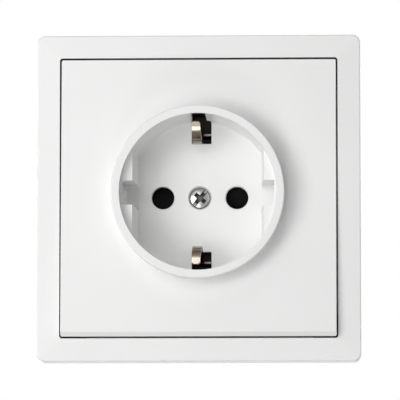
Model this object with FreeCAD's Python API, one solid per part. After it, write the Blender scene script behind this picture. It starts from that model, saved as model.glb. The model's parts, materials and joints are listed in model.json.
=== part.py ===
import FreeCAD, Part
import math
import os

# Wall socket type F, millimetres
# Working frame: x to the right, y up, z out of the wall towards the viewer, origin on the socket axis
# Each finished piece is turned at the end so that z is up and the front faces minus y

# Plug standard: pins and recess
PIN_SPACING = 19.0
PIN_DIAMETER = 4.8
PIN_LENGTH = 19.0
PIN_HOLE_RADIUS = 2.9
PIN_HOLE_CHAMFER = 0.25
PIN_HOLE_EASE = 0.1
RECESS_DEPTH = 17.5
RECESS_RADIUS = 19.9
RECESS_TAPER = 0.3
RECESS_FLOOR_ROUND = 0.9
RIM_FRONT = 16.5

# Cover frame
FRAME_BORDER = 5.8
FRAME_CORNER_RADIUS = 2.0
FRAME_OUTER_EDGE = 9.0
FRAME_INNER_EDGE = 9.2
FRAME_EDGE_ROUND = 0.4
FRAME_WALL = 2.0
FRAME_RIB = 1.2
FRAME_RIB_STEP = 22.0
OPENING_WIDTH = 70.75
OPENING_HEIGHT = 71.55
OPENING_CORNER_RADIUS = 0.7
OPENING_WALL = 1.6
LEDGE_WIDTH = 1.5
LEDGE_FRONT = 3.0
FACE_DROP = 0.9

# Centre plate with collar and cup
PLATE_GAP = 0.42
PLATE_CORNER_RADIUS = 0.4
PLATE_EDGE_ROUND = 0.15
PLATE_SKIRT = 1.5
PLATE_SKIRT_REAR = 6.2
PLATE_FOOT = 6.0
PLATE_THICKNESS = 2.2
PLATE_TOP_SUNK = 0.4
PLATE_BOTTOM_PROUD = 2.2
PLATE_BEVEL_HEIGHT = 1.1
PLATE_BEVEL_DEPTH = 0.9
PLATE_RIB = 1.2
PLATE_RIB_REAR = 4.0
COLLAR_WALL = 2.05
COLLAR_ROUND = 0.35
CUP_WALL = 1.65
FLOOR_THICKNESS = 2.0

# Guide flats at both sides of the recess
GUIDE_HALF_FRONT = 16.65
GUIDE_TAPER_WIDTH = 0.9
GUIDE_BELOW_RIM = 3.2
GUIDE_NOTCH_HALF = 3.1
GUIDE_NOTCH_ROUND = 1.6

# Earth slots at the top and bottom of the recess
SLOT_NARROW_HALF = 1.87
SLOT_BELOW_RIM = 0.8
SLOT_COLLAR_WALL = 0.8
SLOT_THROUGH_FRONT = 6.0
SLOT_WIDE_FRONT = 2.0
SLOT_CLEARANCE = 0.2
SLOT_INNER = 13.9

# Shutter behind the recess floor
BOSS_RADIUS = 3.4
RUNNING_CLEARANCE = 0.08
ROTOR_THICKNESS = 2.1
ROTOR_AXIAL_CLEARANCE = 0.2
ROTOR_HUB_WALL = 0.8
ROTOR_BLADE_MARGIN = 1.0
ROTOR_HALF_ANGLE = 20.5
ROTOR_OPEN_ANGLE = 42.0
ROTOR_RAMP_FOOT = 0.5
POST_RADIUS = 1.6
POST_OUTSIDE_PINS = 0.53
POST_PIN_RADIUS = 1.0
CAP_THICKNESS = 1.0
CAP_MARGIN = 0.3
LID_GAP = 0.5
SPRING_WIRE = 0.44
SPRING_ROOM = 0.7
SPRING_BEND_RADIUS = 0.5
SPRING_SWEEP = 290.0

# Insulating base
LID_THICKNESS = 1.5
LID_CLEARANCE = 0.3
DISH_CLEARANCE = 0.4
DISH_WALL = 1.6
DISH_FLOOR = 2.5
BASE_SIDE_WALL = 4.9
BASE_UNDER_HEADS = 0.2
BASE_CORNER_RADIUS = 2.5
BASE_EDGE = 0.8
BASE_REAR_WALL = 3.8
POCKET_WALL = 1.7
POCKET_DEPTH = 12.0
POCKET_CORNER = 1.0
CHAMBER_CLEARANCE = 0.5
CHAMBER_BEHIND = 4.0

# Sheet metal of the strap and the pin grips
SHEET = 0.5
SHEET_BEND_RADIUS = 0.8
STRAP_HALF_WIDTH = 3.4
STRAP_LEG = 16.5
LEG_SLOT_CLEARANCE = 0.55
STRAP_LEFT = -1.95
STRAP_RIGHT = 2.75
STRAP_TAB_BELOW_FLOOR = 0.5
STRAP_COLLAR_WALL = 1.2
STRAP_COLLAR_LENGTH = 2.0
STRAP_CHANNEL_CLEARANCE = 0.3
STRAP_BAR_END = 3.0
FINGER_LEFT = -1.6
FINGER_RIGHT = 0.85
FINGER_BULGE = 11.3
FINGER_BULGE_BELOW_RIM = 7.6
FINGER_TIP = 18.2
FINGER_TIP_BELOW_RIM = 3.9
FINGER_TIP_ROUND = 0.7
FINGER_TIP_TAPER_WIDTH = 0.42
FINGER_BEND_RADIUS = 7.0
GRIP_WIDTH = 5.2
GRIP_CLEARANCE = 0.05
GRIP_FLARE = 0.9
GRIP_NECK = 2.8
GRIP_RELIEF = 0.3
GRIP_RELIEF_BEHIND = 9.0
GRIP_BEND_RADIUS = 0.6
GRIP_BEHIND_PIN = 1.8
TAIL_HALF_WIDTH = 1.9

# Terminals on the lower side
TERMINAL_PITCH = 10.5
TERMINAL_DROP = 11.0
TERMINAL_HALF_WIDTH = 3.6
TERMINAL_LENGTH = 9.0
TERMINAL_HEAD_RADIUS = 2.9
TERMINAL_HEAD_HEIGHT = 1.8
CLAMP_GAP = 3.2
CLAMP_THICKNESS = 1.2
CLAMP_LENGTH = 8.0
WIRE_ENTRY_RADIUS = 1.75
WIRE_ENTRY_HALF_PITCH = 2.0
SCREW_PAST_PLATE = 1.6

# Support plate on the wall and its fasteners
SUPPORT_UNDERLAP = 0.25
SUPPORT_CORNER_CUT = 9.0
SUPPORT_THICKNESS = 1.0
SUPPORT_CLEARANCE = 1.0
BOX_SCREW_SPACING = 60.0
BOX_SCREW_HOLE_RADIUS = 1.75
BOX_SLOT_HALF_ANGLE = 8.0
RIVET_RADIUS = 1.25
RIVET_HEAD_RADIUS = 2.2
RIVET_HEAD_HEIGHT = 0.6
RIVET_BOSS_RADIUS = 2.8
RIVET_BOSS_LENGTH = 6.0
RIVET_SPACE = 0.2

# Screws
THREAD_RADIUS = 1.45
THREAD_CLEARANCE = 0.05
SCREW_HOLE_CLEARANCE = 0.2
SCREW_END_ROOM = 1.0
SCREW_TIP_SHARE = 0.7
SLOT_DEPTH = 0.6
CROSS_DEPTH = 1.0
CROSS_REACH_SHARE = 0.66
DRIVE_WIDTH_SHARE = 0.42
CENTRE_HEAD_RADIUS = 2.5
CENTRE_HEAD_HEIGHT = 1.4
CENTRE_HEAD_SINK = 1.8
CENTRE_HEAD_DOME = 0.45
CENTRE_HEAD_CLEARANCE = 0.12
CENTRE_MOUTH_CHAMFER = 0.45
CENTRE_MOUTH_DEPTH = 1.2
CENTRE_SCREW_PAST_COLLAR = 3.0
CENTRE_SLOT_ANGLE = 50.0
LID_SCREW_EDGE = 0.95
LID_SCREW_ANGLE = 20.0
LID_SCREW_RADIUS = 1.2
LID_SCREW_LENGTH = 6.0
SMALL_HEAD_RADIUS = 2.2
SMALL_HEAD_HEIGHT = 1.5
SMALL_HEAD_ROUND = 0.5

# Spreading claws
CLAW_SCREW_CLEARANCE = 0.3
CLAW_DROP = 7.0
CLAW_PIVOT_DEPTH = 24.0
CLAW_TRAVEL = 6.0
CLAW_FRONT_CLEARANCE = 3.0
CLAW_SHEET = 1.0
CLAW_HALF_WIDTH = 3.4
CLAW_EAR_INSIDE = 0.5
CLAW_TOOTH_OUT = 1.2
CLAW_TOOTH_LENGTH = 2.6
CLAW_TOOTH_DEPTH = 1.4
CLAW_EAR_STEP = 2.0
CLAW_EAR_BACK = 0.4
NUT_RADIUS = 2.1
NUT_SIDE_CLEARANCE = 0.1
TRUNNION_PROUD = 0.2
TRUNNION_RADIUS = 1.4
CLAW_SCREW_BEHIND = 4.0

# How far cutting bodies reach past what they cut
OVERCUT = 1.0

# Radii that follow from the recess
collar_radius = RECESS_RADIUS + COLLAR_WALL
cup_radius = RECESS_RADIUS + CUP_WALL
floor_radius = RECESS_RADIUS - RECESS_TAPER
dish_inner = cup_radius + DISH_CLEARANCE
dish_outer = dish_inner + DISH_WALL
lid_radius = dish_inner - LID_CLEARANCE
lid_screw_distance = lid_radius - SMALL_HEAD_RADIUS - LID_SCREW_EDGE
rivet_circle = dish_outer + RIVET_HEAD_RADIUS + RIVET_SPACE

# Levels along the socket axis
floor_front = RIM_FRONT - RECESS_DEPTH
floor_rear = floor_front - FLOOR_THICKNESS
rotor_front = floor_rear - ROTOR_AXIAL_CLEARANCE
rotor_rear = rotor_front - ROTOR_THICKNESS
cap_front = rotor_rear - ROTOR_AXIAL_CLEARANCE
cap_rear = cap_front - CAP_THICKNESS
lid_front = cap_rear - LID_GAP
lid_rear = lid_front - LID_THICKNESS
strap_rear = lid_rear - SHEET
strap_middle = lid_rear - SHEET / 2
collar_end = strap_rear - STRAP_COLLAR_LENGTH
centre_screw_end = collar_end - CENTRE_SCREW_PAST_COLLAR
contact_rear = floor_front - PIN_LENGTH - GRIP_BEHIND_PIN - SHEET / 2
chamber_rear = contact_rear - CHAMBER_BEHIND
base_rear = chamber_rear - BASE_REAR_WALL

# Shutter sizes that follow from the pins
pin_x = PIN_SPACING / 2
post_circle = pin_x + POST_OUTSIDE_PINS
rotor_radius = pin_x + PIN_HOLE_RADIUS + ROTOR_BLADE_MARGIN
spring_radius = BOSS_RADIUS + RUNNING_CLEARANCE + SPRING_ROOM
pocket_radius = spring_radius + SPRING_ROOM
hub_radius = pocket_radius + ROTOR_HUB_WALL
cap_radius = rotor_radius + CAP_MARGIN
spring_plane = rotor_rear + SPRING_WIRE / 2

# Outlines of the frame, the support plate behind it and the wedge plate in it
frame_width = OPENING_WIDTH + 2 * FRAME_BORDER
frame_height = OPENING_HEIGHT + 2 * FRAME_BORDER
support_half_width = OPENING_WIDTH / 2 + SUPPORT_UNDERLAP
support_half_height = OPENING_HEIGHT / 2 - SUPPORT_UNDERLAP
plate_width = OPENING_WIDTH - 2 * PLATE_GAP
plate_height = OPENING_HEIGHT - 2 * PLATE_GAP
plate_top = plate_height / 2 - FACE_DROP
plate_bottom = -plate_height / 2 - FACE_DROP
plate_top_z = FRAME_INNER_EDGE - PLATE_TOP_SUNK
plate_bottom_z = FRAME_INNER_EDGE + PLATE_BOTTOM_PROUD
plate_slope = (plate_bottom_z - plate_top_z) / plate_height
slot_left = STRAP_LEFT - SLOT_CLEARANCE
slot_right = STRAP_RIGHT + SLOT_CLEARANCE

# Terminals: line on the left, earth in the middle, neutral on the right
grip_half = PIN_DIAMETER / 2 + GRIP_CLEARANCE + SHEET / 2
terminal_xs = (-TERMINAL_PITCH, 0.0, TERMINAL_PITCH)
terminal_y = -TERMINAL_DROP
terminal_under = terminal_y - SHEET / 2
terminal_over = terminal_y + SHEET / 2
terminal_front = contact_rear + TERMINAL_LENGTH
terminal_z = (contact_rear + terminal_front) / 2
clamp_top = terminal_under - CLAMP_GAP
clamp_bottom = clamp_top - CLAMP_THICKNESS
terminal_screw_length = terminal_over + SCREW_PAST_PLATE - clamp_bottom
chamber_half = TERMINAL_HALF_WIDTH + CHAMBER_CLEARANCE
base_half_width = TERMINAL_PITCH + chamber_half + BASE_SIDE_WALL
base_half_height = TERMINAL_HEAD_HEIGHT - clamp_bottom + BASE_UNDER_HEADS

# Claws beside the dish
claw_y = -CLAW_DROP
claw_x = math.sqrt((dish_outer + THREAD_RADIUS + CLAW_SCREW_CLEARANCE) ** 2 - claw_y**2)
claw_pivot = -CLAW_PIVOT_DEPTH
claw_front = -CLAW_TRAVEL - CLAW_FRONT_CLEARANCE
claw_web = claw_x + THREAD_RADIUS + CLAW_SCREW_CLEARANCE + CLAW_SHEET / 2
claw_screw_end = claw_pivot - CLAW_SCREW_BEHIND

PARTS_FOLDER = "parts"
os.makedirs(PARTS_FOLDER, exist_ok=True)


def vec(x, y, z):
    return FreeCAD.Vector(x, y, z)


# Plain solids
def block(x0, x1, y0, y1, z0, z1):
    return Part.makeBox(x1 - x0, y1 - y0, z1 - z0, vec(x0, y0, z0))


def rod(radius, z0, z1, x=0.0, y=0.0):
    return Part.makeCylinder(radius, z1 - z0, vec(x, y, z0), vec(0, 0, 1))


def upright(radius, y0, y1, x, z):
    return Part.makeCylinder(radius, y1 - y0, vec(x, y0, z), vec(0, 1, 0))


def join(shapes):
    whole = shapes[0]
    for shape in shapes[1:]:
        whole = whole.fuse(shape)
    return whole.removeSplitter()


def take_away(body, shapes):
    for shape in shapes:
        body = body.cut(shape)
    return body


def mirror_x(shape):
    return shape.mirror(vec(0, 0, 0), vec(1, 0, 0))


def mirror_y(shape):
    return shape.mirror(vec(0, 0, 0), vec(0, 1, 0))


def turned(shape, angle):
    copy = shape.copy()
    copy.rotate(vec(0, 0, 0), vec(0, 0, 1), angle)
    return copy


# Point on a circle around the socket axis
def polar(radius, angle, z):
    a = math.radians(angle)
    return vec(radius * math.cos(a), radius * math.sin(a), z)


# Rounded rectangle as a wire at height z, around the middle of the face
def rounded_wire(width, height, radius, z, centre_y):
    arcs = []
    for index, (sx, sy) in enumerate([(1, 1), (-1, 1), (-1, -1), (1, -1)]):
        corner = vec(sx * (width / 2 - radius), centre_y + sy * (height / 2 - radius), z)
        first = 90 * index
        arcs.append([corner + polar(radius, angle, 0) for angle in (first, first + 45, first + 90)])
    edges = []
    for index, points in enumerate(arcs):
        following = arcs[(index + 1) % 4][0]
        edges.append(Part.Arc(*points).toShape())
        edges.append(Part.makeLine(points[2], following))
    return Part.Wire(edges)


def rounded_block(width, height, radius, z0, z1, centre_y):
    face = Part.Face(rounded_wire(width, height, radius, z0, centre_y))
    return face.extrude(vec(0, 0, z1 - z0))


def prism(corners, way):
    return Part.Face(Part.makePolygon(corners + corners[:1])).extrude(way)


# Prism from (y, z) points between two x values
def side_prism(points, x0, x1):
    return prism([vec(x0, y, z) for y, z in points], vec(x1 - x0, 0, 0))


# Prism from (x, z) points between two y values
def top_prism(points, y0, y1):
    return prism([vec(x, y0, z) for x, z in points], vec(0, y1 - y0, 0))


# Wedge around the x axis, as seen along z
def sector(half_angle, reach, z0, z1):
    corners = [vec(0, 0, z0), polar(reach, -half_angle, z0), polar(reach, half_angle, z0)]
    return prism(corners, vec(0, 0, z1 - z0))


# Arc that rounds the corner between two straight edges, with both its ends
def corner_arc(before, here, after, radius):
    a = (before - here).normalize()
    b = (after - here).normalize()
    half = a.getAngle(b) / 2
    reach = radius / math.tan(half)
    start = here + a * reach
    end = here + b * reach
    middle = here + (a + b).normalize() * (radius / math.sin(half) - radius)
    return start, middle, end


# Solid of revolution from an (r, z) outline; a third value rounds that corner
def lathe(outline):
    count = len(outline)
    spots = [vec(corner[0], 0, corner[1]) for corner in outline]
    bends = []
    for index, corner in enumerate(outline):
        if len(corner) == 2:
            bends.append((spots[index], None, spots[index]))
        else:
            bends.append(corner_arc(spots[index - 1], spots[index], spots[(index + 1) % count], corner[2]))
    return Part.Face(closed_wire(bends)).revolve(vec(0, 0, 0), vec(0, 0, 1), 360)


# Closed wire through corners, each given as start, middle of its arc or nothing, and end
def closed_wire(bends):
    edges = []
    for index, (start, middle, end) in enumerate(bends):
        following = bends[(index + 1) % len(bends)][0]
        if middle is not None:
            edges.append(Part.Arc(start, middle, end).toShape())
        edges.append(Part.makeLine(end, following))
    return Part.Wire(edges)


# Outline of a bent sheet along its centre line, as a face; a third value is that corner's own bend
# radius, and place turns flat points into space
def bent_face(path, sheet, usual_bend, place):
    flat = [vec(corner[0], corner[1], 0) for corner in path]
    last = len(flat) - 1
    left = []
    right = []
    for index, here in enumerate(flat):
        before = flat[max(index - 1, 0)]
        after = flat[min(index + 1, last)]
        if index in (0, last):
            along = (after - before).normalize()
            side = vec(-along.y, along.x, 0) * (sheet / 2)
            left.append((here + side, None, here + side))
            right.append((here - side, None, here - side))
            continue
        bend = path[index][2] if len(path[index]) == 3 else usual_bend
        come = here - before
        leave = after - here
        turn = math.copysign(1.0, come.x * leave.y - come.y * leave.x)
        start, middle, end = corner_arc(before, here, after, bend)
        centre = middle + (middle - here).normalize() * bend
        for rail, sign in ((left, 1.0), (right, -1.0)):
            radius = bend - sign * turn * sheet / 2
            rail.append(tuple(centre + (spot - centre).normalize() * radius for spot in (start, middle, end)))
    bends = left + [(end, middle, start) for start, middle, end in reversed(right)]
    placed = []
    for start, middle, end in bends:
        placed.append((place(start), middle and place(middle), place(end)))
    return Part.Face(closed_wire(placed))


def bent_side(path, sheet, bend, x0, x1):
    face = bent_face(path, sheet, bend, lambda p: vec(x0, p.x, p.y))
    return face.extrude(vec(x1 - x0, 0, 0))


def bent_top(path, sheet, bend, y0, y1):
    face = bent_face(path, sheet, bend, lambda p: vec(p.x, y0, p.y))
    return face.extrude(vec(0, y1 - y0, 0))


# All edges whose ends pass a test
def edges_where(shape, test):
    return [edge for edge in shape.Edges if all(test(vertex.Point) for vertex in edge.Vertexes)]


def close_to(value, target):
    return abs(value - target) < 1e-4


# Four sloping borders that meet in mitres, inside the rounded edge of the frame
def frame_slopes(centre):
    width = frame_width - 2 * FRAME_EDGE_ROUND
    height = frame_height - 2 * FRAME_EDGE_ROUND
    sizes = [
        (width, height, FRAME_OUTER_EDGE),
        (OPENING_WIDTH, OPENING_HEIGHT, FRAME_INNER_EDGE),
    ]
    outlines = []
    for across, high, z in sizes:
        spots = [(1, 1), (-1, 1), (-1, -1), (1, -1), (1, 1)]
        corners = [vec(sx * across / 2, centre + sy * high / 2, z) for sx, sy in spots]
        outlines.append(Part.makePolygon(corners))
    slopes = Part.makeLoft(outlines, True, True)
    radius = FRAME_CORNER_RADIUS - FRAME_EDGE_ROUND
    return slopes.common(rounded_block(width, height, radius, FRAME_OUTER_EDGE, FRAME_INNER_EDGE, centre))


# Cover frame
def make_cover_frame():
    centre = -FACE_DROP
    outer = (frame_width, frame_height, FRAME_CORNER_RADIUS)
    opening = (OPENING_WIDTH, OPENING_HEIGHT, OPENING_CORNER_RADIUS)
    body = rounded_block(*outer, 0, FRAME_OUTER_EDGE, centre)
    top_edges = edges_where(body, lambda p: close_to(p.z, FRAME_OUTER_EDGE))
    body = body.makeFillet(FRAME_EDGE_ROUND, top_edges)
    body = join([body, frame_slopes(centre)])
    body = body.cut(rounded_block(*opening, LEDGE_FRONT, FRAME_INNER_EDGE + OVERCUT, centre))
    seat_width = OPENING_WIDTH - 2 * LEDGE_WIDTH
    seat_height = OPENING_HEIGHT - 2 * LEDGE_WIDTH
    seat_front = LEDGE_FRONT + OVERCUT
    seat = rounded_block(seat_width, seat_height, OPENING_CORNER_RADIUS, -OVERCUT, seat_front, centre)
    body = body.cut(seat)

    # Channel behind the frame, crossed by stiffening ribs
    inside_width = frame_width - 2 * FRAME_WALL
    inside_height = frame_height - 2 * FRAME_WALL
    front = FRAME_OUTER_EDGE - FRAME_WALL
    channel = rounded_block(inside_width, inside_height, OPENING_CORNER_RADIUS, -OVERCUT, front, centre)
    core_width = OPENING_WIDTH + 2 * OPENING_WALL
    core_height = OPENING_HEIGHT + 2 * OPENING_WALL
    kept = [rounded_block(core_width, core_height, OPENING_WALL, SUPPORT_THICKNESS, front + OVERCUT, centre)]
    for step in (-FRAME_RIB_STEP / 2, FRAME_RIB_STEP / 2):
        low = step - FRAME_RIB / 2
        high = step + FRAME_RIB / 2
        kept.append(block(low, high, -frame_height, frame_height, SUPPORT_THICKNESS, front + OVERCUT))
        kept.append(block(-frame_width, frame_width, low, high, SUPPORT_THICKNESS, front + OVERCUT))
    return body.cut(take_away(channel, kept))


# Front plane of the wedge plate at height y
def plate_front(y):
    return plate_top_z + (plate_top - y) * plate_slope


# Slots for the upper earth finger; those of the lower finger are their mirror image
def earth_slot():
    far = cup_radius + OVERCUT
    groove_back = collar_radius - SLOT_COLLAR_WALL
    groove_front = RIM_FRONT - SLOT_BELOW_RIM
    inside = floor_radius - OVERCUT
    behind = floor_rear - OVERCUT
    groove = block(-SLOT_NARROW_HALF, SLOT_NARROW_HALF, inside, groove_back, floor_front, groove_front)
    through = block(-SLOT_NARROW_HALF, SLOT_NARROW_HALF, inside, far, floor_front, SLOT_THROUGH_FRONT)
    wide_wall = block(slot_left, slot_right, inside, far, behind, SLOT_WIDE_FRONT)
    wide_floor = block(slot_left, slot_right, SLOT_INNER, inside + OVERCUT, behind, floor_front + OVERCUT)
    return [groove, through, wide_wall, wide_floor]


# One guide flat with its notch, on the right side
def guide_flat():
    front = RIM_FRONT - GUIDE_BELOW_RIM
    low = floor_front - FLOOR_THICKNESS / 2
    foot = GUIDE_HALF_FRONT - GUIDE_TAPER_WIDTH * (front - low) / (front - floor_front)
    outline = [(GUIDE_HALF_FRONT, front), (foot, low), (collar_radius, low), (collar_radius, front)]
    flat = top_prism(outline, -RECESS_RADIUS, RECESS_RADIUS)
    flat = flat.common(rod(RECESS_RADIUS + CUP_WALL / 2, low, front))
    reach = math.sqrt(floor_radius**2 - GUIDE_NOTCH_HALF**2)
    notch = block(0, reach, -GUIDE_NOTCH_HALF, GUIDE_NOTCH_HALF, floor_front, front + OVERCUT)
    on_side = lambda p: close_to(p.z, floor_front) and close_to(abs(p.y), GUIDE_NOTCH_HALF)
    feet = [edge for edge in edges_where(notch, on_side) if close_to(edge.Length, reach)]
    return flat.cut(notch.makeFillet(GUIDE_NOTCH_ROUND, feet))


# Posts that carry the shutter cap and stop the shutter at both ends of its turn
def post_spots():
    margin = math.degrees(math.asin((POST_RADIUS + RUNNING_CLEARANCE) / post_circle))
    opened = ROTOR_HALF_ANGLE + ROTOR_OPEN_ANGLE + margin
    closed = -ROTOR_HALF_ANGLE - margin
    return [polar(post_circle, angle, 0) for angle in (opened, opened + 180, closed, closed + 180)]


# Solid wedge with rounded front edges and a bevelled lower edge
def plate_wedge():
    profile = [
        (plate_top, LEDGE_FRONT),
        (plate_top, plate_top_z),
        (plate_bottom, plate_bottom_z),
        (plate_bottom, LEDGE_FRONT),
    ]
    wedge = side_prism(profile, -plate_width / 2, plate_width / 2)
    size = (plate_width, plate_height, PLATE_CORNER_RADIUS)
    wedge = wedge.common(rounded_block(*size, LEDGE_FRONT, RIM_FRONT, -FACE_DROP))
    front_edges = edges_where(wedge, lambda p: close_to(p.z, plate_front(p.y)))
    wedge = wedge.makeFillet(PLATE_EDGE_ROUND, front_edges)
    bevel_y = plate_bottom + PLATE_BEVEL_HEIGHT
    bevel_z = plate_front(bevel_y)
    bevel_rise = PLATE_BEVEL_DEPTH / PLATE_BEVEL_HEIGHT
    waste = [
        (bevel_y, bevel_z),
        (plate_bottom - OVERCUT, bevel_z - PLATE_BEVEL_DEPTH - OVERCUT * bevel_rise),
        (plate_bottom - OVERCUT, RIM_FRONT),
        (bevel_y, RIM_FRONT),
    ]
    return wedge.cut(side_prism(waste, -plate_width, plate_width))


# Room behind the plate, left free by two crossing ribs
def plate_hollow():
    high = plate_top - PLATE_SKIRT
    low = plate_bottom + PLATE_SKIRT
    profile = [
        (high, LEDGE_FRONT - OVERCUT),
        (high, plate_front(high) - PLATE_THICKNESS),
        (low, plate_front(low) - PLATE_THICKNESS),
        (low, LEDGE_FRONT - OVERCUT),
    ]
    half = plate_width / 2 - PLATE_SKIRT
    return take_away(side_prism(profile, -half, half), plate_ribs())


# Two ribs from the cup to the corners of the plate
def plate_ribs():
    rib = block(-plate_height, plate_height, -PLATE_RIB / 2, PLATE_RIB / 2, PLATE_RIB_REAR, RIM_FRONT)
    return [turned(rib, 45), turned(rib, -45)]


# Room under the skirt between four corner feet, which sit on the ledge of the frame
def skirt_relief():
    reach = plate_height
    levels = (LEDGE_FRONT - OVERCUT, PLATE_SKIRT_REAR)
    feet = []
    for x0, x1 in ((-reach, PLATE_FOOT - plate_width / 2), (plate_width / 2 - PLATE_FOOT, reach)):
        feet.append(block(x0, x1, plate_top - PLATE_FOOT, reach, *levels))
        feet.append(block(x0, x1, -reach, plate_bottom + PLATE_FOOT, *levels))
    return take_away(block(-reach, reach, -reach, reach, *levels), feet + plate_ribs())


# Cone that chamfers the edge of a round hole in the recess floor
def floor_chamfer(radius, size, depth, x):
    return Part.makeCone(radius, radius + size, depth, vec(x, 0, floor_front - depth))


# Centre plate, collar and cup in one moulding
def make_centre_plate():
    collar_foot = plate_top_z - PLATE_THICKNESS
    cup = lathe(
        [
            (0, floor_rear),
            (cup_radius, floor_rear),
            (cup_radius, collar_foot),
            (collar_radius, collar_foot),
            (collar_radius, RIM_FRONT, COLLAR_ROUND),
            (0, RIM_FRONT),
        ]
    )
    recess = lathe(
        [
            (0, floor_front),
            (floor_radius, floor_front, RECESS_FLOOR_ROUND),
            (RECESS_RADIUS, RIM_FRONT),
            (RECESS_RADIUS, RIM_FRONT + OVERCUT),
            (0, RIM_FRONT + OVERCUT),
        ]
    )
    flat = guide_flat()
    recess = take_away(recess, [flat, mirror_x(flat)])
    plate = take_away(plate_wedge(), [plate_hollow(), skirt_relief()])
    body = plate.fuse(cup).cut(recess)

    root = floor_rear + FLOOR_THICKNESS / 4
    extras = [rod(BOSS_RADIUS, lid_front, root)]
    for spot in post_spots():
        extras.append(rod(POST_RADIUS, cap_front, root, spot.x, spot.y))
        extras.append(rod(POST_PIN_RADIUS, cap_rear, root, spot.x, spot.y))
    body = join([body] + extras)

    mouth = floor_front + OVERCUT
    head_room = CENTRE_HEAD_RADIUS + CENTRE_HEAD_CLEARANCE
    holes = [
        rod(THREAD_RADIUS + SCREW_HOLE_CLEARANCE, lid_front - OVERCUT, mouth),
        rod(head_room, floor_front - CENTRE_HEAD_SINK, mouth),
        floor_chamfer(head_room, CENTRE_MOUTH_CHAMFER, CENTRE_MOUTH_DEPTH, 0.0),
    ]
    for x in (-pin_x, pin_x):
        holes.append(rod(PIN_HOLE_RADIUS, floor_rear - OVERCUT, mouth, x))
        holes.append(floor_chamfer(PIN_HOLE_RADIUS, PIN_HOLE_CHAMFER, PIN_HOLE_CHAMFER, x))
    for slot in earth_slot():
        holes.append(slot)
        holes.append(mirror_y(slot))
    return take_away(body, holes)


# Screw along z with a rounded head on the plane z = seat
def pan_screw(seat, head_radius, head_height, thread_radius, end, round_radius):
    tip = thread_radius * SCREW_TIP_SHARE
    return lathe(
        [
            (0, end),
            (tip, end),
            (thread_radius, end + thread_radius - tip),
            (thread_radius, seat),
            (head_radius, seat),
            (head_radius, seat + head_height, round_radius),
            (0, seat + head_height),
        ]
    )


# Driving recess: a slot across the head and a deeper cross, in proportion to the head
def drive_cut(top, head_radius):
    half = head_radius * DRIVE_WIDTH_SHARE / 2
    reach = head_radius * CROSS_REACH_SHARE
    far = head_radius + OVERCUT
    over = top + OVERCUT
    slot = block(-far, far, -half, half, top - SLOT_DEPTH, over)
    arm = block(-reach, reach, -half, half, top - CROSS_DEPTH, over)
    return join([slot, arm, turned(arm, 90)])


def make_centre_screw():
    seat = floor_front - CENTRE_HEAD_SINK
    top = seat + CENTRE_HEAD_HEIGHT
    head = (CENTRE_HEAD_RADIUS, CENTRE_HEAD_HEIGHT)
    screw = pan_screw(seat, *head, THREAD_RADIUS, centre_screw_end, CENTRE_HEAD_DOME)
    dome_radius = (CENTRE_HEAD_RADIUS**2 + CENTRE_HEAD_DOME**2) / (2 * CENTRE_HEAD_DOME)
    dome = Part.makeSphere(dome_radius, vec(0, 0, top - dome_radius))
    around_dome = rod(CENTRE_HEAD_RADIUS + OVERCUT, top - CENTRE_HEAD_DOME, top + OVERCUT).cut(dome)
    return take_away(screw, [around_dome, turned(drive_cut(top, CENTRE_HEAD_RADIUS), CENTRE_SLOT_ANGLE)])


# Shutter blade over the right pin hole, ramped so that a pin turns it aside
def rotor_blade():
    reach = 2 * rotor_radius
    blade = rod(rotor_radius, rotor_rear, rotor_front)
    blade = blade.common(sector(ROTOR_HALF_ANGLE, reach, rotor_rear, rotor_front))
    ramp_top = PIN_HOLE_RADIUS / 2
    ramp_end = -2 * PIN_HOLE_RADIUS
    ramp = [
        (ramp_top, rotor_front),
        (ramp_top, rotor_front + OVERCUT),
        (ramp_end, rotor_front + OVERCUT),
        (ramp_end, rotor_rear + ROTOR_RAMP_FOOT),
    ]
    return blade.cut(side_prism(ramp, hub_radius, reach))


def make_shutter_rotor():
    blade = rotor_blade()
    body = join([rod(hub_radius, rotor_rear, rotor_front), blade, turned(blade, 180)])
    behind = rotor_rear - OVERCUT
    pocket_front = spring_plane + SPRING_WIRE / 2 + RUNNING_CLEARANCE
    leg = SPRING_WIRE / 2 + RUNNING_CLEARANCE
    cuts = [
        rod(BOSS_RADIUS + RUNNING_CLEARANCE, behind, rotor_front + OVERCUT),
        rod(pocket_radius, behind, pocket_front),
        block(-leg, leg, spring_radius, hub_radius + OVERCUT, behind, pocket_front),
    ]
    return take_away(body, cuts)


# Angles at which the open spring turn begins and ends
def spring_angles():
    leg_y = math.sqrt((spring_radius + SPRING_BEND_RADIUS) ** 2 - SPRING_BEND_RADIUS**2)
    first = 90 + math.degrees(math.atan2(SPRING_BEND_RADIUS, leg_y))
    return first, first + SPRING_SWEEP


# Where the rear end of the spring enters the cap
def spring_anchor():
    end = spring_angles()[1]
    return polar(spring_radius, end, 0) + polar(SPRING_BEND_RADIUS, end + 90, 0)


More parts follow.
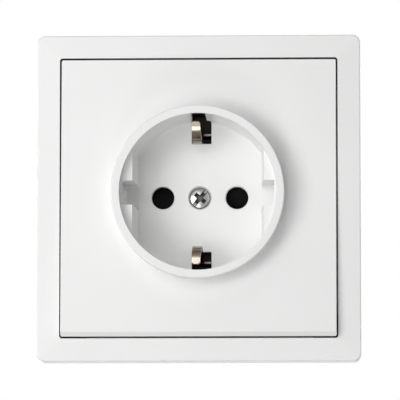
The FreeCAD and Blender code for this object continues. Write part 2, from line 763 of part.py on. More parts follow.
# Open turn of wire: a leg hooked into the rotor, the turn, and a leg down into the cap
def make_shutter_spring():
    first, last = spring_angles()
    leg_y = math.sqrt((spring_radius + SPRING_BEND_RADIUS) ** 2 - SPRING_BEND_RADIUS**2)
    hook_start = vec(0, hub_radius - RUNNING_CLEARANCE, spring_plane)
    hook_end = vec(0, leg_y, spring_plane)
    hook_centre = vec(-SPRING_BEND_RADIUS, leg_y, spring_plane)
    hook_middle = hook_centre + polar(SPRING_BEND_RADIUS, (first - 180) / 2, 0)
    turn = [polar(spring_radius, angle, spring_plane) for angle in (first, (first + last) / 2, last)]
    drop = spring_anchor() + vec(0, 0, spring_plane - SPRING_BEND_RADIUS)
    drop_centre = turn[2] - vec(0, 0, SPRING_BEND_RADIUS)
    drop_middle = drop_centre + (polar(1, last + 90, 0) + vec(0, 0, 1)).normalize() * SPRING_BEND_RADIUS
    path = Part.Wire(
        [
            Part.makeLine(hook_start, hook_end),
            Part.Arc(hook_end, hook_middle, turn[0]).toShape(),
            Part.Arc(*turn).toShape(),
            Part.Arc(turn[2], drop_middle, drop).toShape(),
            Part.makeLine(drop, vec(drop.x, drop.y, cap_rear)),
        ]
    )
    section = Part.Wire(Part.makeCircle(SPRING_WIRE / 2, hook_start, vec(0, 1, 0)))
    return path.makePipeShell([section], True, False)


def make_shutter_cap():
    behind = cap_rear - OVERCUT
    front = cap_front + OVERCUT
    anchor = spring_anchor()
    cuts = [
        rod(BOSS_RADIUS + RUNNING_CLEARANCE, behind, front),
        rod(SPRING_WIRE / 2 + RUNNING_CLEARANCE, behind, front, anchor.x, anchor.y),
    ]
    for x in (-pin_x, pin_x):
        cuts.append(rod(PIN_HOLE_RADIUS + PIN_HOLE_EASE, behind, front, x))
    for spot in post_spots():
        cuts.append(rod(POST_PIN_RADIUS + THREAD_CLEARANCE, behind, front, spot.x, spot.y))
    return take_away(rod(cap_radius, cap_rear, cap_front), cuts)


# The two lid screws sit opposite each other, clear of the chambers
def lid_screw_spots():
    return [polar(lid_screw_distance, angle, 0) for angle in (LID_SCREW_ANGLE, LID_SCREW_ANGLE + 180)]


def make_contact_cover():
    behind = lid_rear - OVERCUT
    front = lid_front + OVERCUT
    cuts = [rod(THREAD_RADIUS + SCREW_HOLE_CLEARANCE, behind, front)]
    for x in (-pin_x, pin_x):
        cuts.append(rod(PIN_HOLE_RADIUS + PIN_HOLE_EASE, behind, front, x))
    for spot in lid_screw_spots():
        cuts.append(rod(LID_SCREW_RADIUS + SCREW_HOLE_CLEARANCE, behind, front, spot.x, spot.y))
    half = SHEET / 2 + LEG_SLOT_CLEARANCE
    leg_slot = block(slot_left, slot_right, STRAP_LEG - half, STRAP_LEG + half, behind, front)
    cuts.append(leg_slot)
    cuts.append(mirror_y(leg_slot))
    return take_away(rod(lid_radius, lid_rear, lid_front), cuts)


# Small screws with one kind of head
def small_screw(seat, thread_radius, end):
    screw = pan_screw(seat, SMALL_HEAD_RADIUS, SMALL_HEAD_HEIGHT, thread_radius, end, SMALL_HEAD_ROUND)
    return screw.cut(drive_cut(seat + SMALL_HEAD_HEIGHT, SMALL_HEAD_RADIUS))


def make_cover_screws():
    screws = []
    for spot in lid_screw_spots():
        screw = small_screw(lid_front, LID_SCREW_RADIUS, lid_rear - LID_SCREW_LENGTH)
        screw.translate(spot)
        screws.append(screw)
    return Part.makeCompound(screws)


def rivet_spots():
    return [polar(rivet_circle, angle, 0) for angle in (45, 135, 225, 315)]


# Room for one pin grip and its tail down to the terminal, on the right side
def grip_chamber():
    reach = GRIP_WIDTH / 2 + CHAMBER_CLEARANCE
    half = grip_half + GRIP_FLARE + SHEET / 2 + CHAMBER_CLEARANCE
    deep = contact_rear - SHEET / 2 - THREAD_CLEARANCE
    grip = block(pin_x - reach, pin_x + reach, -half, half, deep, lid_rear + OVERCUT)
    tail_half = TAIL_HALF_WIDTH + CHAMBER_CLEARANCE
    tail_front = contact_rear + SHEET / 2 + CHAMBER_CLEARANCE
    tail = block(TERMINAL_PITCH - tail_half, TERMINAL_PITCH + tail_half, terminal_y, 0, deep, tail_front)
    return grip.fuse(tail)


# Hollow in the upper half of the base, open to the rear, on the right side
def base_pocket():
    inner = grip_half + GRIP_FLARE + SHEET / 2 + CHAMBER_CLEARANCE + POCKET_WALL
    outer = base_half_height - POCKET_WALL
    side = base_half_width - POCKET_WALL
    width = side - POCKET_WALL
    size = (width, outer - inner, POCKET_CORNER)
    pocket = rounded_block(*size, base_rear - OVERCUT, base_rear + POCKET_DEPTH, 0)
    pocket.translate(vec(POCKET_WALL + width / 2, (inner + outer) / 2, 0))
    return pocket


def make_insulating_base():
    dish = rod(dish_outer, lid_rear - DISH_FLOOR, 0)
    size = (2 * base_half_width, 2 * base_half_height)
    lump = rounded_block(*size, BASE_CORNER_RADIUS, base_rear, lid_rear, 0)
    lump = lump.makeChamfer(BASE_EDGE, edges_where(lump, lambda p: close_to(p.z, base_rear)))
    bosses = [rod(RIVET_BOSS_RADIUS, -RIVET_BOSS_LENGTH, 0, spot.x, spot.y) for spot in rivet_spots()]
    body = join([dish, lump] + bosses)

    over = lid_rear + OVERCUT
    cuts = [rod(dish_inner, lid_rear, OVERCUT)]
    rivet_end = -RIVET_BOSS_LENGTH - OVERCUT
    for spot in rivet_spots():
        cuts.append(rod(RIVET_RADIUS + THREAD_CLEARANCE, rivet_end, OVERCUT, spot.x, spot.y))
    pilot_end = lid_rear - LID_SCREW_LENGTH - SCREW_END_ROOM
    for spot in lid_screw_spots():
        cuts.append(rod(LID_SCREW_RADIUS + THREAD_CLEARANCE, pilot_end, over, spot.x, spot.y))

    # Channel of the earth strap, with room for its threaded collar and the screw end
    wide = STRAP_HALF_WIDTH + STRAP_CHANNEL_CLEARANCE
    leg_end = STRAP_LEG + SHEET
    cuts.append(block(-wide, wide, -leg_end, leg_end, strap_rear, over))
    collar_room = THREAD_RADIUS + STRAP_COLLAR_WALL + STRAP_CHANNEL_CLEARANCE
    cuts.append(rod(collar_room, collar_end - STRAP_CHANNEL_CLEARANCE, over))
    cuts.append(rod(THREAD_RADIUS + SCREW_HOLE_CLEARANCE, centre_screw_end - SCREW_END_ROOM, over))
    ceiling = terminal_over + THREAD_CLEARANCE
    cuts.append(block(-wide, wide, clamp_top, ceiling, contact_rear, over))

    for cut in (grip_chamber(), base_pocket()):
        cuts.append(cut)
        cuts.append(mirror_x(cut))

    # Terminal chambers, open below, with two wire entries each from the rear
    wire_y = terminal_under - CLAMP_GAP / 2
    low = -base_half_height - OVERCUT
    front = terminal_front + CHAMBER_CLEARANCE
    screw_top = clamp_bottom + terminal_screw_length + SCREW_END_ROOM
    for x in terminal_xs:
        cuts.append(block(x - chamber_half, x + chamber_half, low, ceiling, chamber_rear, front))
        cuts.append(upright(THREAD_RADIUS + SCREW_HOLE_CLEARANCE, terminal_y, screw_top, x, terminal_z))
        for step in (-WIRE_ENTRY_HALF_PITCH, WIRE_ENTRY_HALF_PITCH):
            cuts.append(rod(WIRE_ENTRY_RADIUS, base_rear - OVERCUT, chamber_rear + OVERCUT, x + step, wire_y))
    return take_away(body, cuts)


# Threaded hole of a terminal plate
def terminal_hole(x):
    ends = (terminal_under - OVERCUT, terminal_over + OVERCUT)
    return upright(THREAD_RADIUS + THREAD_CLEARANCE, *ends, x, terminal_z)


# Earth strap: cross bar, two legs, two spring fingers, threaded collar and terminal tail
def make_earth_strap():
    bar_end = STRAP_LEG - STRAP_BAR_END
    foot = [(bar_end, strap_middle), (STRAP_LEG, strap_middle)]
    leg_path = foot + [(STRAP_LEG, floor_rear - STRAP_TAB_BELOW_FLOOR)]
    bulge_z = RIM_FRONT - FINGER_BULGE_BELOW_RIM
    tip_z = RIM_FRONT - FINGER_TIP_BELOW_RIM
    finger_path = foot + [
        (STRAP_LEG, floor_rear),
        (FINGER_BULGE, bulge_z, FINGER_BEND_RADIUS),
        (FINGER_TIP, tip_z),
    ]
    leg = bent_side(leg_path, SHEET, SHEET_BEND_RADIUS, STRAP_LEFT, STRAP_RIGHT)
    finger = bent_side(finger_path, SHEET, SHEET_BEND_RADIUS, FINGER_LEFT, FINGER_RIGHT)
    taper = [
        (FINGER_RIGHT, bulge_z),
        (FINGER_RIGHT - FINGER_TIP_TAPER_WIDTH, tip_z + SHEET),
        (FINGER_RIGHT + OVERCUT, tip_z + SHEET),
    ]
    finger = finger.cut(top_prism(taper, 0, 2 * FINGER_TIP))
    tip_edges = edges_where(finger, lambda p: math.hypot(p.y - FINGER_TIP, p.z - tip_z) < SHEET)
    corners = [edge for edge in tip_edges if abs(edge.Length - SHEET) < SHEET / 10]
    finger = finger.makeFillet(FINGER_TIP_ROUND, corners)
    pieces = [block(-STRAP_HALF_WIDTH, STRAP_HALF_WIDTH, -bar_end, bar_end, strap_rear, lid_rear)]
    for piece in (leg, finger):
        pieces.append(piece)
        pieces.append(mirror_y(piece))
    pieces.append(rod(THREAD_RADIUS + STRAP_COLLAR_WALL, collar_end, strap_rear))
    tail = (-STRAP_HALF_WIDTH, STRAP_HALF_WIDTH, terminal_under, terminal_over)
    pieces.append(block(*tail, contact_rear, strap_rear))
    thread = rod(THREAD_RADIUS + THREAD_CLEARANCE, collar_end - OVERCUT, lid_rear + OVERCUT)
    return take_away(join(pieces), [thread, terminal_hole(0.0)])


# Pin grip with tail and terminal plate, on the right side
def make_neutral_contact():
    mouth = strap_rear - SCREW_HOLE_CLEARANCE
    upper = [
        (grip_half + GRIP_FLARE, mouth),
        (grip_half, mouth - GRIP_NECK),
        (grip_half + GRIP_RELIEF, mouth - GRIP_RELIEF_BEHIND),
        (grip_half + GRIP_RELIEF, contact_rear),
    ]
    path = upper + [(-y, z) for y, z in reversed(upper)]
    half = GRIP_WIDTH / 2
    tulip = bent_side(path, SHEET, GRIP_BEND_RADIUS, pin_x - half, pin_x + half)
    tail_path = [(0, contact_rear), (terminal_y, contact_rear), (terminal_y, terminal_front)]
    tail_x = (TERMINAL_PITCH - TAIL_HALF_WIDTH, TERMINAL_PITCH + TAIL_HALF_WIDTH)
    tail = bent_side(tail_path, SHEET, SHEET_BEND_RADIUS, *tail_x)
    plate_x = (TERMINAL_PITCH - TERMINAL_HALF_WIDTH, TERMINAL_PITCH + TERMINAL_HALF_WIDTH)
    plate_rear = contact_rear + SHEET / 2 + SHEET_BEND_RADIUS
    plate = block(*plate_x, terminal_under, terminal_over, plate_rear, terminal_front)
    return join([tulip, tail, plate]).cut(terminal_hole(TERMINAL_PITCH))


def make_clamp(x):
    sides = (x - TERMINAL_HALF_WIDTH, x + TERMINAL_HALF_WIDTH)
    rear = terminal_z - CLAMP_LENGTH / 2
    plate = block(*sides, clamp_bottom, clamp_top, rear, rear + CLAMP_LENGTH)
    hole = THREAD_RADIUS + SCREW_HOLE_CLEARANCE
    return plate.cut(upright(hole, clamp_bottom - OVERCUT, clamp_top + OVERCUT, x, terminal_z))


def make_terminal_screws():
    head = (TERMINAL_HEAD_RADIUS, TERMINAL_HEAD_HEIGHT)
    screws = []
    for x in terminal_xs:
        screw = pan_screw(0, *head, THREAD_RADIUS, -terminal_screw_length, SMALL_HEAD_ROUND)
        screw = screw.cut(drive_cut(TERMINAL_HEAD_HEIGHT, TERMINAL_HEAD_RADIUS))
        screw.rotate(vec(0, 0, 0), vec(1, 0, 0), 90)
        screw.translate(vec(x, clamp_bottom, terminal_z))
        screws.append(screw)
    return Part.makeCompound(screws)


# Curved slot for box screws at the right side of the support plate
def box_slot(z0, z1):
    reach = BOX_SCREW_SPACING / 2
    far = reach + BOX_SCREW_HOLE_RADIUS
    band = rod(far, z0, z1).cut(rod(reach - BOX_SCREW_HOLE_RADIUS, z0, z1))
    slot = band.common(sector(BOX_SLOT_HALF_ANGLE, 2 * far, z0, z1))
    for angle in (-BOX_SLOT_HALF_ANGLE, BOX_SLOT_HALF_ANGLE):
        end = polar(reach, angle, 0)
        slot = slot.fuse(rod(BOX_SCREW_HOLE_RADIUS, z0, z1, end.x, end.y))
    return slot


# Support plate on the wall
def make_support_ring():
    corners = []
    for sx, sy in ((1, 1), (-1, 1), (-1, -1), (1, -1)):
        near = vec(sx * support_half_width, sy * (support_half_height - SUPPORT_CORNER_CUT), 0)
        far = vec(sx * (support_half_width - SUPPORT_CORNER_CUT), sy * support_half_height, 0)
        corners += [near, far] if sx == sy else [far, near]
    plate = prism(corners, vec(0, 0, SUPPORT_THICKNESS))
    behind = -OVERCUT
    front = SUPPORT_THICKNESS + OVERCUT
    cuts = [rod(cup_radius + SUPPORT_CLEARANCE, behind, front)]
    for spot in rivet_spots():
        cuts.append(rod(RIVET_RADIUS + THREAD_CLEARANCE, behind, front, spot.x, spot.y))
    slot = box_slot(behind, front)
    cuts += [slot, mirror_x(slot)]
    for side in (-1, 1):
        cuts.append(rod(BOX_SCREW_HOLE_RADIUS, behind, front, 0, side * BOX_SCREW_SPACING / 2))
        cuts.append(rod(THREAD_RADIUS + SCREW_HOLE_CLEARANCE, behind, front, side * claw_x, claw_y))
    return take_away(plate, cuts)


def make_support_rivets():
    front = SUPPORT_THICKNESS
    rear = -RIVET_BOSS_LENGTH
    rivets = []
    for spot in rivet_spots():
        rivet = lathe(
            [
                (0, rear - RIVET_HEAD_HEIGHT),
                (RIVET_HEAD_RADIUS, rear - RIVET_HEAD_HEIGHT),
                (RIVET_HEAD_RADIUS, rear),
                (RIVET_RADIUS, rear),
                (RIVET_RADIUS, front),
                (RIVET_HEAD_RADIUS, front),
                (RIVET_HEAD_RADIUS, front + RIVET_HEAD_HEIGHT, RIVET_HEAD_HEIGHT / 2),
                (0, front + RIVET_HEAD_HEIGHT),
            ]
        )
        rivet.translate(spot)
        rivets.append(rivet)
    return Part.makeCompound(rivets)


# Claw screws, their barrel nuts and the claws
def make_claw_screws():
    screws = []
    for side in (-1, 1):
        screw = small_screw(SUPPORT_THICKNESS, THREAD_RADIUS, claw_screw_end)
        screw.translate(vec(side * claw_x, claw_y, 0))
        screws.append(screw)
    return Part.makeCompound(screws)


def make_claw_nut_right():
    half = CLAW_HALF_WIDTH - CLAW_SHEET - NUT_SIDE_CLEARANCE
    reach = CLAW_HALF_WIDTH + TRUNNION_PROUD
    barrel = upright(NUT_RADIUS, claw_y - half, claw_y + half, claw_x, claw_pivot)
    trunnion = upright(TRUNNION_RADIUS, claw_y - reach, claw_y + reach, claw_x, claw_pivot)
    ends = (claw_pivot - 2 * NUT_RADIUS, claw_pivot + 2 * NUT_RADIUS)
    thread = rod(THREAD_RADIUS + THREAD_CLEARANCE, *ends, claw_x, claw_y)
    return barrel.fuse(trunnion).cut(thread)


def make_claw_right():
    rear = claw_pivot - NUT_RADIUS
    web_rear = claw_pivot + NUT_RADIUS + CLAW_EAR_INSIDE
    low = claw_y - CLAW_HALF_WIDTH
    high = claw_y + CLAW_HALF_WIDTH
    bend_z = claw_front - CLAW_TOOTH_LENGTH
    web_path = [(claw_web, web_rear), (claw_web, bend_z), (claw_web + CLAW_TOOTH_OUT, claw_front)]
    web = bent_top(web_path, CLAW_SHEET, CLAW_SHEET, low, high)
    outer = claw_web + CLAW_SHEET / 2
    inner = claw_x - CLAW_EAR_INSIDE
    ear_outline = [
        (outer, rear),
        (claw_x - NUT_RADIUS, rear),
        (claw_x - NUT_RADIUS, web_rear),
        (inner, web_rear + CLAW_EAR_STEP),
        (inner, bend_z - CLAW_EAR_BACK - CLAW_SHEET),
        (outer, bend_z - CLAW_EAR_BACK),
    ]
    ears = [
        top_prism(ear_outline, low, low + CLAW_SHEET),
        top_prism(ear_outline, high - CLAW_SHEET, high),
    ]
    cuts = [upright(TRUNNION_RADIUS + THREAD_CLEARANCE, low - OVERCUT, high + OVERCUT, claw_x, claw_pivot)]
    tooth = 2 * CLAW_HALF_WIDTH / 3
    reach = CLAW_TOOTH_OUT + CLAW_SHEET + OVERCUT
    for y in (low + tooth, low + 2 * tooth):
        corners = [
            vec(claw_x, y, claw_front - CLAW_TOOTH_DEPTH),
            vec(claw_x, y + tooth / 3, claw_front + OVERCUT),
            vec(claw_x, y - tooth / 3, claw_front + OVERCUT),
        ]
        cuts.append(prism(corners, vec(claw_web - claw_x + reach, 0, 0)))
    return take_away(join([web] + ears), cuts)


# Writes one piece, turned so that z is up and the front faces minus y
def hand_out(name, shape):
    placed = shape.copy()
    placed.rotate(vec(0, 0, 0), vec(1, 0, 0), 90)
    placed.exportStep(os.path.join(PARTS_FOLDER, name + ".step"))


neutral_contact = make_neutral_contact()
claw_nut_right = make_claw_nut_right()
claw_right = make_claw_right()

hand_out("cover_frame", make_cover_frame())
hand_out("centre_plate", make_centre_plate())
hand_out("centre_screw", make_centre_screw())
hand_out("shutter_rotor", make_shutter_rotor())
hand_out("shutter_spring", make_shutter_spring())
hand_out("shutter_cap", make_shutter_cap())
hand_out("contact_cover", make_contact_cover())
hand_out("cover_screws", make_cover_screws())
hand_out("insulating_base", make_insulating_base())
hand_out("earth_strap", make_earth_strap())
hand_out("neutral_contact", neutral_contact)
hand_out("line_contact", mirror_x(neutral_contact))
hand_out("line_clamp", make_clamp(-TERMINAL_PITCH))
hand_out("earth_clamp", make_clamp(0.0))
hand_out("neutral_clamp", make_clamp(TERMINAL_PITCH))
hand_out("terminal_screws", make_terminal_screws())
hand_out("support_ring", make_support_ring())
hand_out("support_rivets", make_support_rivets())
hand_out("claw_screws", make_claw_screws())
hand_out("claw_nut_right", claw_nut_right)
hand_out("claw_nut_left", mirror_x(claw_nut_right))
hand_out("claw_right", claw_right)
hand_out("claw_left", mirror_x(claw_right))
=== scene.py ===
import json
import math

import bpy
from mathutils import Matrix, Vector


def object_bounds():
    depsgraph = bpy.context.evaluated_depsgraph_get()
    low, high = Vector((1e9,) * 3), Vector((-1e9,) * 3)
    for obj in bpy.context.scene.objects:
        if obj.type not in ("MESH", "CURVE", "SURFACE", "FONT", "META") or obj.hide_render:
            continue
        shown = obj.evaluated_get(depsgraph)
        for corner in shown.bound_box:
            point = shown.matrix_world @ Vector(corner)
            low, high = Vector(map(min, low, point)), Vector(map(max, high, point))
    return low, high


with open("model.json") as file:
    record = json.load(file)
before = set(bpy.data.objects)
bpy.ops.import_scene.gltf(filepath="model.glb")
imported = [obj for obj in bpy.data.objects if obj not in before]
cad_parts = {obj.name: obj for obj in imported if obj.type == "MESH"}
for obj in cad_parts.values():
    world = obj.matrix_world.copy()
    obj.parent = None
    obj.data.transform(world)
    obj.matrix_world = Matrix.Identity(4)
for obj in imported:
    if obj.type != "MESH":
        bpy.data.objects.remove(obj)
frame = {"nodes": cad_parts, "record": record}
cad_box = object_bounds()

# Wall socket type F, dressed for rendering; metres, z up, the front faces minus y

# Camera: in front of the socket, a little below and to the right of its axis
CAMERA_PLACE = Vector((0.037203, -1.0, -0.100003))
CAMERA_YAW = math.radians(-2.12859)
CAMERA_PITCH = math.radians(5.67062)
CAMERA_LENS = 353.134
SENSOR_WIDTH = 36.0

# Lamps: name, degrees to the right, degrees up, distance, width, height, watts
LAMPS = (
    ("key_left", -35.0, -3.0, 0.65, 0.29, 0.39, 1.8),
    ("front_left", -14.0, -24.0, 1.0, 0.40, 0.40, 1.45),
    ("front_high", -14.0, 20.0, 1.0, 0.40, 0.40, 1.6),
    ("upper_left", -50.0, 32.0, 1.0, 0.45, 0.45, 0.7),
    ("top", 0.0, 64.0, 1.0, 0.15, 0.15, 0.55),
    ("right", 45.0, 8.0, 1.0, 0.60, 0.60, 0.7),
    ("below", -3.0, -58.0, 1.0, 0.15, 0.25, 0.9),
    ("back_left", -125.0, 10.0, 1.0, 0.60, 0.60, 4.0),
    ("back_right", 125.0, 10.0, 1.0, 0.60, 0.60, 4.0),
    ("back_low", 180.0, -40.0, 1.0, 0.60, 0.60, 1.6),
)
LAMP_TARGET = Vector((0.0, -0.010, 0.0))
WORLD_LIGHT = 0.13
BACKGROUND_WHITE = 1.0

# Floor, far below the socket
FLOOR_DROP = 1.0
FLOOR_SIZE = 2.0
FLOOR_COLOUR = (0.9, 0.9, 0.9, 1.0)
FLOOR_ROUGHNESS = 0.9

# Noise: the values between which a pattern runs from its low to its high end
NOISE_LOW = 0.3
NOISE_HIGH = 0.7

# Plastics: scale of the clouds, depth and fineness of the moulded grain
PLASTIC_CLOUDS = 40.0
GRAIN_DEPTH = 0.00005
GRAIN_DETAIL = 2.0

# Metals: scale of the clouds, scale, fineness, depth and strength of the streaks
METAL_CLOUDS = 220.0
STREAK_SCALE = 900.0
STREAK_DETAIL = 3.0
STREAK_DEPTH = 0.00003
STREAK_BUMP = 0.12

# Stretch of the streaks: none, along x, or across x
EVEN = (1.0, 1.0, 1.0)
ALONG_X = (0.1, 1.0, 1.0)
ACROSS_X = (1.0, 0.1, 0.1)

# Painted shade in narrow gaps and hollows, a darkening of the colour where shade falls: reach,
# openness where the painted shade is full and where it ends, inside one piece only or not
PLASTIC_GAP_SHADE = (0.0012, 0.12, 0.42, False)
METAL_GAP_SHADE = (0.0040, 0.55, 1.0, True)
GAP_SHADE_COLOUR = (0.05, 0.05, 0.05)
GAP_SHADE_SAMPLES = 8
UNSHADED = (1.0, 1.0, 1.0)


# Node helpers
def add_node(tree, kind, **settings):
    node = tree.nodes.new(kind)
    for key, value in settings.items():
        setattr(node, key, value)
    return node


def new_material(name):
    material = bpy.data.materials.new(name)
    material.use_nodes = True
    tree = material.node_tree
    return material, tree, tree.nodes["Principled BSDF"]


# Noise that is fixed to the piece
def pattern(tree, scale, detail=4.0, stretch=EVEN):
    place = add_node(tree, "ShaderNodeTexCoord")
    mapping = add_node(tree, "ShaderNodeMapping")
    mapping.inputs["Scale"].default_value = stretch
    noise = add_node(tree, "ShaderNodeTexNoise")
    noise.inputs["Scale"].default_value = scale
    noise.inputs["Detail"].default_value = detail
    tree.links.new(place.outputs["Object"], mapping.inputs["Vector"])
    tree.links.new(mapping.outputs["Vector"], noise.inputs["Vector"])
    return noise


# Colour that runs from dark to light while a value runs from low to high
def colour_ramp(tree, value, low, high, dark, light):
    ramp = add_node(tree, "ShaderNodeValToRGB")
    for stop, position, colour in zip(ramp.color_ramp.elements, (low, high), (dark, light)):
        stop.position = position
        stop.color = (*colour, 1.0)
    tree.links.new(value, ramp.inputs["Fac"])
    return ramp.outputs["Color"]


def vary_colour(tree, shader, noise, dark, light):
    colour = colour_ramp(tree, noise.outputs["Fac"], NOISE_LOW, NOISE_HIGH, dark, light)
    tree.links.new(colour, shader.inputs["Base Color"])


# Painted shade: darkens the colour that the shader has in gaps and hollows narrower than the reach,
# where shade falls
def paint_gap_shade(tree, shader, reach, full, none, one_piece):
    near = add_node(tree, "ShaderNodeAmbientOcclusion", samples=GAP_SHADE_SAMPLES, only_local=one_piece)
    near.inputs["Distance"].default_value = reach
    # Colour of the painted shade, darkest where the surround is most closed in
    painted_shade = colour_ramp(tree, near.outputs["AO"], full, none, GAP_SHADE_COLOUR, UNSHADED)
    mix = add_node(tree, "ShaderNodeMix", data_type="RGBA", blend_type="MULTIPLY")
    mix.inputs["Factor"].default_value = 1.0
    first, second = [socket for socket in mix.inputs if socket.type == "RGBA"]
    result = [socket for socket in mix.outputs if socket.type == "RGBA"][0]
    base = shader.inputs["Base Color"]
    tree.links.new(base.links[0].from_socket, first)
    tree.links.new(painted_shade, second)
    tree.links.new(result, base)


def vary_roughness(tree, shader, noise, smooth, rough):
    spread = add_node(tree, "ShaderNodeMapRange")
    spread.inputs["From Min"].default_value = NOISE_LOW
    spread.inputs["From Max"].default_value = NOISE_HIGH
    spread.inputs["To Min"].default_value = smooth
    spread.inputs["To Max"].default_value = rough
    tree.links.new(noise.outputs["Fac"], spread.inputs["Value"])
    tree.links.new(spread.outputs["Result"], shader.inputs["Roughness"])


def add_bump(tree, shader, noise, strength, depth):
    bump = add_node(tree, "ShaderNodeBump")
    bump.inputs["Strength"].default_value = strength
    bump.inputs["Distance"].default_value = depth
    tree.links.new(noise.outputs["Fac"], bump.inputs["Height"])
    tree.links.new(bump.outputs["Normal"], shader.inputs["Normal"])


# Moulded plastics
def plastic(name, dark, light, smooth, rough, grain, bump, gloss):
    material, tree, shader = new_material(name)
    shader.inputs["Specular IOR Level"].default_value = gloss
    cloud = pattern(tree, PLASTIC_CLOUDS)
    fine = pattern(tree, grain, GRAIN_DETAIL)
    vary_colour(tree, shader, cloud, dark, light)
    vary_roughness(tree, shader, cloud, smooth, rough)
    add_bump(tree, shader, fine, bump, GRAIN_DEPTH)
    # Painted shade in the gaps between the plastic parts, such as the joint of plate and frame
    paint_gap_shade(tree, shader, *PLASTIC_GAP_SHADE)
    return material


# Cover frame and centre plate
def white_plastic():
    return plastic(
        "white_plastic", dark=(0.865, 0.865, 0.86), light=(0.885, 0.885, 0.88),
        smooth=0.30, rough=0.36, grain=3000.0, bump=0.05, gloss=0.5
    )


# Shutter and its cap
def shutter_black():
    return plastic(
        "shutter_black", dark=(0.003, 0.003, 0.003), light=(0.006, 0.006, 0.006),
        smooth=0.6, rough=0.7, grain=2500.0, bump=0.2, gloss=0.06
    )


# Base and contact cover
def base_grey():
    return plastic(
        "base_grey", dark=(0.024, 0.023, 0.022), light=(0.036, 0.034, 0.032),
        smooth=0.5, rough=0.62, grain=1800.0, bump=0.3, gloss=0.3
    )


# Metals with clouds and streaks
def metal(name, dark, light, smooth, rough, stretch):
    material, tree, shader = new_material(name)
    shader.inputs["Metallic"].default_value = 1.0
    streaks = pattern(tree, STREAK_SCALE, STREAK_DETAIL, stretch)
    cloud = pattern(tree, METAL_CLOUDS)
    vary_colour(tree, shader, cloud, dark, light)
    vary_roughness(tree, shader, streaks, smooth, rough)
    add_bump(tree, shader, streaks, STREAK_BUMP, STREAK_DEPTH)
    # Painted shade in the hollows of one metal piece, such as the screw's cross recess
    paint_gap_shade(tree, shader, *METAL_GAP_SHADE)
    return material


# Screws, rivets and clamps
def zinc_steel():
    return metal(
        "zinc_steel", dark=(0.27, 0.27, 0.265), light=(0.34, 0.34, 0.33),
        smooth=0.18, rough=0.28, stretch=EVEN
    )


# Shutter spring
def spring_steel():
    return metal(
        "spring_steel", dark=(0.5, 0.5, 0.5), light=(0.6, 0.6, 0.6),
        smooth=0.25, rough=0.35, stretch=EVEN
    )


# Earth strap
def nickel_strap():
    return metal(
        "nickel_strap", dark=(0.24, 0.195, 0.15), light=(0.30, 0.25, 0.20),
        smooth=0.16, rough=0.25, stretch=ACROSS_X
    )


# Pin grips and barrel nuts
def contact_brass():
    return metal(
        "contact_brass", dark=(0.72, 0.52, 0.24), light=(0.8, 0.62, 0.32),
        smooth=0.22, rough=0.35, stretch=ACROSS_X
    )


# Support plate and claws
def zinc_sheet():
    return metal(
        "zinc_sheet", dark=(0.6, 0.61, 0.62), light=(0.7, 0.71, 0.72),
        smooth=0.28, rough=0.42, stretch=ALONG_X
    )


def make_materials():
    return {
        "white_plastic": white_plastic(),
        "shutter_black": shutter_black(),
        "base_grey": base_grey(),
        "zinc_steel": zinc_steel(),
        "spring_steel": spring_steel(),
        "nickel_strap": nickel_strap(),
        "contact_brass": contact_brass(),
        "zinc_sheet": zinc_sheet(),
    }


# Every CAD node takes the material of its slot
def dress_nodes(materials):
    slots = {part["node"]: part["material_slot"] for part in frame["record"]["subparts"]}
    for name, node in frame["nodes"].items():
        node.data.materials.clear()
        node.data.materials.append(materials[slots[name]])


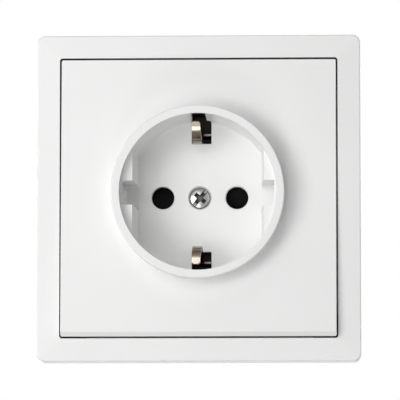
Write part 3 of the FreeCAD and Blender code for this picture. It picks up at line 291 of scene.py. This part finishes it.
# Plain surround: white to look at and in reflections, dim as a light
def make_world():
    world = bpy.data.worlds.new("surround")
    bpy.context.scene.world = world
    world.use_nodes = True
    tree = world.node_tree
    tree.nodes.clear()
    rays = add_node(tree, "ShaderNodeLightPath")
    seen = add_node(tree, "ShaderNodeMath", operation="MAXIMUM")
    seen_all = add_node(tree, "ShaderNodeMath", operation="MAXIMUM")
    light = add_node(tree, "ShaderNodeBackground")
    light.inputs["Color"].default_value = (1.0, 1.0, 1.0, 1.0)
    light.inputs["Strength"].default_value = WORLD_LIGHT
    white = add_node(tree, "ShaderNodeBackground")
    white.inputs["Color"].default_value = (BACKGROUND_WHITE, BACKGROUND_WHITE, BACKGROUND_WHITE, 1.0)
    mix = add_node(tree, "ShaderNodeMixShader")
    out = add_node(tree, "ShaderNodeOutputWorld")
    tree.links.new(rays.outputs["Is Camera Ray"], seen.inputs[0])
    tree.links.new(rays.outputs["Is Glossy Ray"], seen.inputs[1])
    tree.links.new(seen.outputs["Value"], seen_all.inputs[0])
    tree.links.new(rays.outputs["Is Transmission Ray"], seen_all.inputs[1])
    tree.links.new(seen_all.outputs["Value"], mix.inputs["Fac"])
    tree.links.new(light.outputs["Background"], mix.inputs[1])
    tree.links.new(white.outputs["Background"], mix.inputs[2])
    tree.links.new(mix.outputs["Shader"], out.inputs["Surface"])


def make_floor():
    bpy.ops.mesh.primitive_plane_add(size=FLOOR_SIZE, location=(0.0, 0.0, cad_box[0].z - FLOOR_DROP))
    floor = bpy.context.object
    floor.name = "studio_floor"
    material, _, shader = new_material("studio_floor")
    shader.inputs["Base Color"].default_value = FLOOR_COLOUR
    shader.inputs["Roughness"].default_value = FLOOR_ROUGHNESS
    floor.data.materials.append(material)


# Direction of a look at the front of the socket
def view_way(yaw, pitch):
    across = math.cos(pitch)
    return Vector((math.sin(yaw) * across, math.cos(yaw) * across, math.sin(pitch)))


# Soft lamps on all sides; in front, most of the light comes from the left
def make_lamps():
    for name, turn, rise, distance, width, height, watts in LAMPS:
        place = LAMP_TARGET - distance * view_way(math.radians(-turn), math.radians(-rise))
        data = bpy.data.lights.new(name, "AREA")
        data.shape = "RECTANGLE"
        data.size = width
        data.size_y = height
        data.energy = watts
        lamp = bpy.data.objects.new(name, data)
        lamp.location = place
        lamp.rotation_euler = (LAMP_TARGET - place).to_track_quat("-Z", "Y").to_euler()
        bpy.context.scene.collection.objects.link(lamp)


def make_camera():
    data = bpy.data.cameras.new("camera")
    data.sensor_width = SENSOR_WIDTH
    data.lens = CAMERA_LENS
    camera = bpy.data.objects.new("camera", data)
    camera.location = CAMERA_PLACE
    camera.rotation_euler = view_way(CAMERA_YAW, CAMERA_PITCH).to_track_quat("-Z", "Y").to_euler()
    bpy.context.scene.collection.objects.link(camera)
    bpy.context.scene.camera = camera


dress_nodes(make_materials())
make_world()
make_floor()
make_lamps()
make_camera()
bpy.context.scene.view_settings.view_transform = "Standard"
